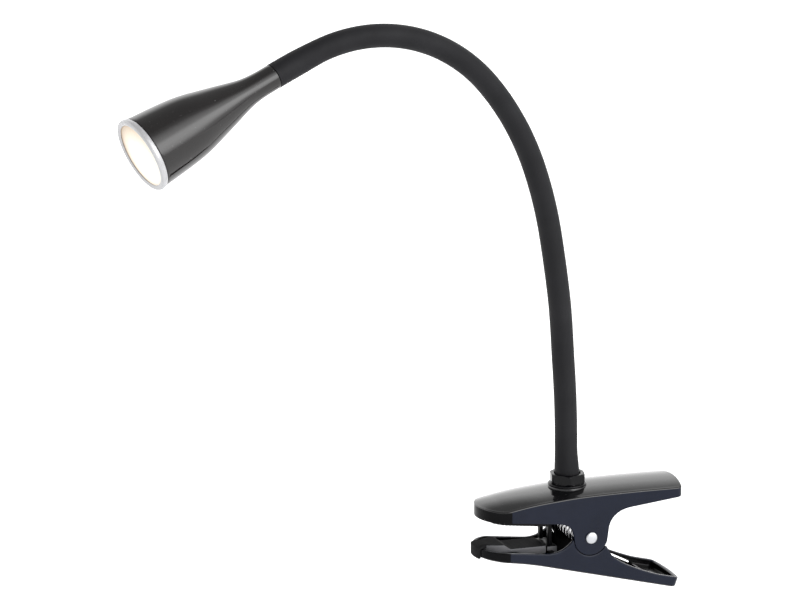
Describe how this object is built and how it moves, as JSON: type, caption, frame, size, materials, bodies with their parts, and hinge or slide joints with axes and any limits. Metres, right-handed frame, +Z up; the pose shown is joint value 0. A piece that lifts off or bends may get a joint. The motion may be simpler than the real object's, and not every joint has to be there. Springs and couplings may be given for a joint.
{
  "type": "clip on reading lamp",
  "caption": "Reading lamp with a sprung clamp, a posable gooseneck in a black sleeve and a bell-shaped LED head with a silver front ring and an opal lens.",
  "frame": {"origin": "middle of the upper pad's grip face, on the clamp's middle plane", "axes": "X along the clamp with the jaws towards -X and the squeeze handles towards +X, Y across the clamp, Z up; the gooseneck rises along +Z and arches over towards -X, turned 11.5 degrees towards -Y"},
  "size_m": [0.3447, 0.0969, 0.3451],
  "materials": {
    "gloss_black": "glossy moulded black",
    "neck_rubber": "matt black sleeve",
    "pad_rubber": "matt dark grey",
    "steel": "plain steel",
    "zinc": "zinc plated, slightly rough",
    "spring_steel": "bright drawn wire",
    "satin_silver": "satin silver",
    "opal": "opal, lit from behind",
    "white_plastic": "white moulded",
    "aluminium": "plain pressed",
    "board_white": "white solder mask",
    "led_yellow": "phosphor yellow",
    "lead_black": "black cable jacket"
  },
  "bodies": {
    "clamp": {"upper_arm": "gloss_black", "upper_pad": "pad_rubber", "pivot_pin": "zinc", "pin_cap": "zinc", "torsion_spring": "spring_steel", "collar_flange": "gloss_black", "collar_nut": "gloss_black", "neck_ferrule": "steel", "lock_washer": "steel", "lock_nut": "steel", "inlet_bush": "pad_rubber", "base_lead": "lead_black", "lead_clamp": "white_plastic", "lead_clamp_screw_1": "steel", "lead_clamp_screw_2": "steel", "neck_sleeve_1": "neck_rubber", "neck_core_1": "steel"},
    "lower_jaw": {"lower_arm": "gloss_black", "lower_pad": "pad_rubber"},
    "neck_b": {"neck_sleeve_2": "neck_rubber", "neck_core_2": "steel", "neck_lead_2": "lead_black"},
    "neck_c": {"neck_sleeve_3": "neck_rubber", "neck_core_3": "steel", "neck_lead_3": "lead_black"},
    "neck_d": {"neck_sleeve_4": "neck_rubber", "neck_core_4": "steel", "neck_lead_4": "lead_black"},
    "neck_e": {"neck_sleeve_5": "neck_rubber", "neck_core_5": "steel", "neck_lead_5": "lead_black"},
    "head": {"neck_sleeve_6": "neck_rubber", "neck_core_6": "steel", "head_ferrule": "steel", "head_nut": "steel", "head_shell": "gloss_black", "head_lead": "lead_black", "heat_sink": "aluminium", "led_board": "board_white", "reflector": "white_plastic", "diffuser": "opal", "front_ring": "satin_silver", "board_screw_1": "steel", "board_screw_2": "steel", "led_1": "led_yellow", "led_2": "led_yellow", "led_3": "led_yellow", "led_4": "led_yellow", "led_5": "led_yellow", "led_6": "led_yellow", "led_7": "led_yellow"}
  },
  "joints": [
    {"name": "jaw_hinge", "type": "hinge", "parent": "clamp", "child": "lower_jaw", "pos_m": [0.04135, 0, -0.0094], "axis": [0, -1, 0], "range_deg": [0, 35], "stiffness_Nm_per_rad": 0.9, "springref_deg": -34.38, "deforming": ["torsion_spring"]},
    {"name": "neck_lean", "type": "hinge", "parent": "clamp", "child": "neck_b", "pos_m": [0.03283, -0.00016, 0.06859], "axis": [-0.9786, -0.1991, -0.0523], "range_deg": [-30, 30]},
    {"name": "neck_bend_low", "type": "hinge", "parent": "neck_b", "child": "neck_c", "pos_m": [0.02693, -0.00136, 0.13027], "axis": [0.1994, -0.9799, 0], "range_deg": [-30, 30]},
    {"name": "neck_bend_mid", "type": "hinge", "parent": "neck_c", "child": "neck_d", "pos_m": [-0.00734, -0.00833, 0.24181], "axis": [0.1994, -0.9799, 0], "range_deg": [-30, 30]},
    {"name": "neck_bend_high", "type": "hinge", "parent": "neck_d", "child": "neck_e", "pos_m": [-0.08272, -0.02367, 0.29214], "axis": [0.1994, -0.9799, 0], "range_deg": [-30, 30]},
    {"name": "head_turn", "type": "hinge", "parent": "neck_e", "child": "head", "pos_m": [-0.13007, -0.0333, 0.28677], "axis": [-0.3512, -0.0715, 0.9336], "range_deg": [-30, 30]}
  ]
}
